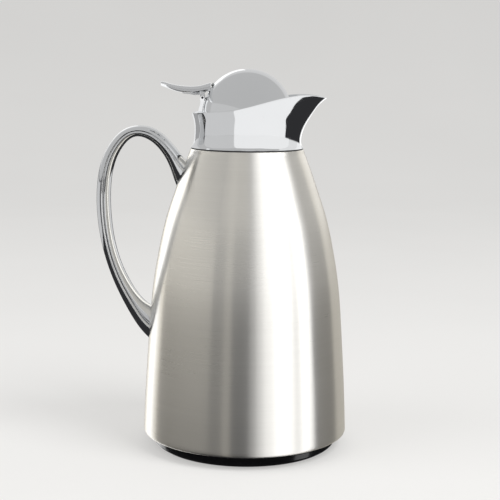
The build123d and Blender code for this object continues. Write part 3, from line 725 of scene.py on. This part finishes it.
# a round floor that curves up into a wall, seen only by the camera
STAGE_RADIUS = 1.6
STAGE_CURVE = 1.6
STAGE_HEIGHT = 4
sweep = [(0, 0)] + [(STAGE_RADIUS * i / 6, 0) for i in range(1, 7)]
for i in range(1, 13):
    swing = math.pi / 2 * i / 12
    sweep.append((STAGE_RADIUS + STAGE_CURVE * math.sin(swing),
                  STAGE_CURVE * (1 - math.cos(swing))))
sweep.append((STAGE_RADIUS + STAGE_CURVE, STAGE_HEIGHT))
rings = [circle(radius / MM, height / MM, 96) for radius, height in sweep]
stage = skin("studio_floor", rings, sharp=80)
stage_paint = Paint("pale_floor", Roughness=.9, Specular_IOR_Level=.1,
                    Emission_Color=(1, .99, .97, 1), Emission_Strength=.42)
stage_paint.colour(stage_paint.noise(3, 2), (.40, .397, .39), (.42, .417, .41))
stage.data.materials.append(stage_paint.material)
stage.visible_glossy = False
stage.visible_diffuse = False
stage.visible_shadow = False


JUG_MIDDLE = Vector((0, 0, .12))


def area_light(name, place_at, size, power):
    """A soft round light that looks at the middle of the jug and shows in no reflection."""
    data = bpy.data.lights.new(name, "AREA")
    data.shape = "DISK"
    data.size = size
    data.energy = power
    light = bpy.data.objects.new(name, data)
    place_at = Vector(place_at)
    turn = (JUG_MIDDLE - place_at).to_track_quat("-Z", "Y").to_matrix().to_4x4()
    light.matrix_world = Matrix.Translation(place_at) @ turn
    light.visible_glossy = False
    bpy.context.scene.collection.objects.link(light)


area_light("soft_key", (.9, -.7, 1.5), 1.0, 20)
area_light("soft_fill", (-1.2, -.5, 1.1), 1.4, 9)

# Reflectors: upright panels, each seen by one group of pieces.  Bearings are degrees round the jug
# from the front, positive to the right; elevations are degrees above the level of the group.
# Where two panels of a group overlap, their light adds up.
PANEL_DISTANCE = 1.6
# the steel's dimmer reflections are warm, apart from those in front and to the right
WARM = (1, .95, .84)
WARM_BELOW = 1
NEUTRAL_FROM, NEUTRAL_TO = 5, 90
GROUPS = {
    # height that elevations are measured from, pieces
    "shell": (.12, ["jug_shell"]),
    "collar": (.223, ["collar_spout"]),
    "lid": (.256, ["dome_cover", "lever_blade", "lever_knuckle", "lever_rib"]),
    "lug": (.248, ["hinge_ear_near", "hinge_ear_far", "hinge_plate"]),
    "handle": (.17, ["loop_handle"]),
    "base": (.02, ["base_band", "base_cap_moulding"]),
}
PANELS = [
    # group, from and to bearing, lowest and highest elevation, brightness
    ("shell", -126, -40, -4, 20, .54),
    ("shell", -126, -40, 20, 60, .13),
    ("shell", -118, -40, -34, -4, .13),
    ("shell", -40, -25, -30, 10, .11),
    ("shell", -25, -16, -60, 20, .25),
    ("shell", -40, 4, 18, 60, .30),
    ("shell", 5, 57, -60, 60, .28),
    ("shell", 13, 57, -60, 60, .43),
    ("shell", 21, 57, -60, 60, .43),
    ("shell", 33, 57, -60, 60, .38),
    ("shell", 57, 66, -60, 60, .90),
    ("shell", 66, 83, -60, 60, 1.72),
    ("shell", 83, 91, 0, 60, .51),
    ("shell", 91, 124, -60, 60, .15),
    ("shell", 124, 168, -60, 60, .48),
    ("shell", -149, -126, -60, 60, 1.46),
    ("shell", -162, -149, -60, 60, .9),
    ("shell", -126, -117, -60, 60, .76),
    ("collar", -28, 36, -48, 1, .92),
    ("collar", 36, 88, -48, 1, .92),
    ("collar", -28, 36, 1, 55, .42),
    ("collar", 36, 100, 1, 55, .42),
    ("collar", 100, 160, 2, 55, .30),
    ("collar", 150, 171, -40, 1, .85),
    ("collar", -104, -28, -48, 1, .60),
    ("collar", -104, -28, 1, 55, .10),
    ("collar", -200, -152, -48, 1, .85),
    ("collar", -150, -126, -30, 1, .35),
    ("lid", -110, -20, 0, 20, .08),
    ("lid", -178, -150, 5, 30, .5),
    ("lid", -60, 60, -60, 0, .42),
    ("lid", -160, -60, -60, 0, 1.1),
    ("lid", -205, -160, -45, 0, .9),
    ("lug", -180, -60, -40, 40, .7),
    ("lug", -60, 60, -50, 1, .92),
    ("lug", -60, 60, 1, 40, .5),
    ("handle", -150, -75, -17, 1, .55),
    ("handle", -30, 0, -20, 1, .66),
    ("handle", -170, -150, 0, 30, .4),
    ("handle", 28, 95, -8, 1, .72),
    ("handle", 95, 165, -12, 1, .62),
    ("handle", 60, 112, 1, 45, .42),
    ("base", -150, -118, -30, 10, 1.6),
    ("base", 66, 88, -30, 10, 1.2),
]


def panel(number, group, start, end, low, high, brightness):
    """An upright rectangle facing the jug's axis, linked to one group of pieces."""
    middle = math.radians((start + end) / 2)
    width = 2 * PANEL_DISTANCE * math.tan(math.radians((end - start) / 2))
    bottom = PANEL_DISTANCE * math.tan(math.radians(low))
    top = PANEL_DISTANCE * math.tan(math.radians(high))
    data = bpy.data.lights.new(f"panel_{number}", "AREA")
    data.shape = "RECTANGLE"
    data.size, data.size_y = width, top - bottom
    data.energy = math.pi * width * (top - bottom) * brightness
    if group == "shell" and brightness < WARM_BELOW and not NEUTRAL_FROM <= start <= NEUTRAL_TO:
        data.color = WARM
    light = bpy.data.objects.new(data.name, data)
    out = Vector((math.sin(middle), -math.cos(middle), 0))
    spot = out * PANEL_DISTANCE + Vector((0, 0, GROUPS[group][0] + (top + bottom) / 2))
    turn = (-out).to_track_quat("-Z", "Y").to_matrix().to_4x4()
    light.matrix_world = Matrix.Translation(spot) @ turn
    light.visible_camera = False
    light.light_linking.receiver_collection = seen_by[group]
    bpy.context.scene.collection.objects.link(light)


seen_by = {}
for group, (_, pieces) in GROUPS.items():
    seen_by[group] = bpy.data.collections.new("seen_by_" + group)
    for name in pieces:
        seen_by[group].objects.link(bpy.data.objects[name])
for number, row in enumerate(PANELS):
    panel(number, *row)

# What every finish reflects: above the level a grey room with a pale wall behind the jug, below it
# a dark table.
BEHIND = [(-1, .50), (.66, .51), (.72, .64), (1, .70)]
BELOW = (.03, .03, .032, 1)
HORIZON_FROM, HORIZON_TO = math.radians(.4), math.radians(1.1)

world = bpy.data.worlds.new("soft_studio")
bpy.context.scene.world = world
world.use_nodes = True
tree = world.node_tree
background = tree.nodes["Background"]


def add(kind, **settings):
    """A node of the world's tree."""
    node = tree.nodes.new(kind)
    for key, value in settings.items():
        setattr(node, key, value)
    return node


def band(rows, position):
    """A ramp of brightness along a position; the rows span its whole range."""
    ramp = add("ShaderNodeValToRGB")
    stops = ramp.color_ramp.elements
    first, last = rows[0][0], rows[-1][0]
    share = add("ShaderNodeMapRange")
    share.inputs["From Min"].default_value = first
    share.inputs["From Max"].default_value = last
    stops.remove(stops[1])
    for i, (at, value) in enumerate(rows):
        stop = stops.new((at - first) / (last - first)) if i else stops[0]
        stop.color = (value, value, value, 1)
    tree.links.new(position, share.inputs["Value"])
    tree.links.new(share.outputs["Result"], ramp.inputs["Fac"])
    return ramp.outputs["Color"]


direction = add("ShaderNodeSeparateXYZ")
rise = add("ShaderNodeMapRange", interpolation_type="SMOOTHSTEP")
rise.inputs["From Min"].default_value = math.sin(HORIZON_FROM)
rise.inputs["From Max"].default_value = math.sin(HORIZON_TO)
meet = add("ShaderNodeMix", data_type="RGBA")
meet.inputs["A"].default_value = BELOW
tree.links.new(add("ShaderNodeTexCoord").outputs["Generated"], direction.inputs["Vector"])
tree.links.new(direction.outputs["Z"], rise.inputs["Value"])
tree.links.new(rise.outputs["Result"], meet.inputs["Factor"])
tree.links.new(band(BEHIND, direction.outputs["Y"]), meet.inputs["B"])
tree.links.new(meet.outputs["Result"], background.inputs["Color"])
background.inputs["Strength"].default_value = 1

bpy.context.scene.view_settings.view_transform = "Standard"
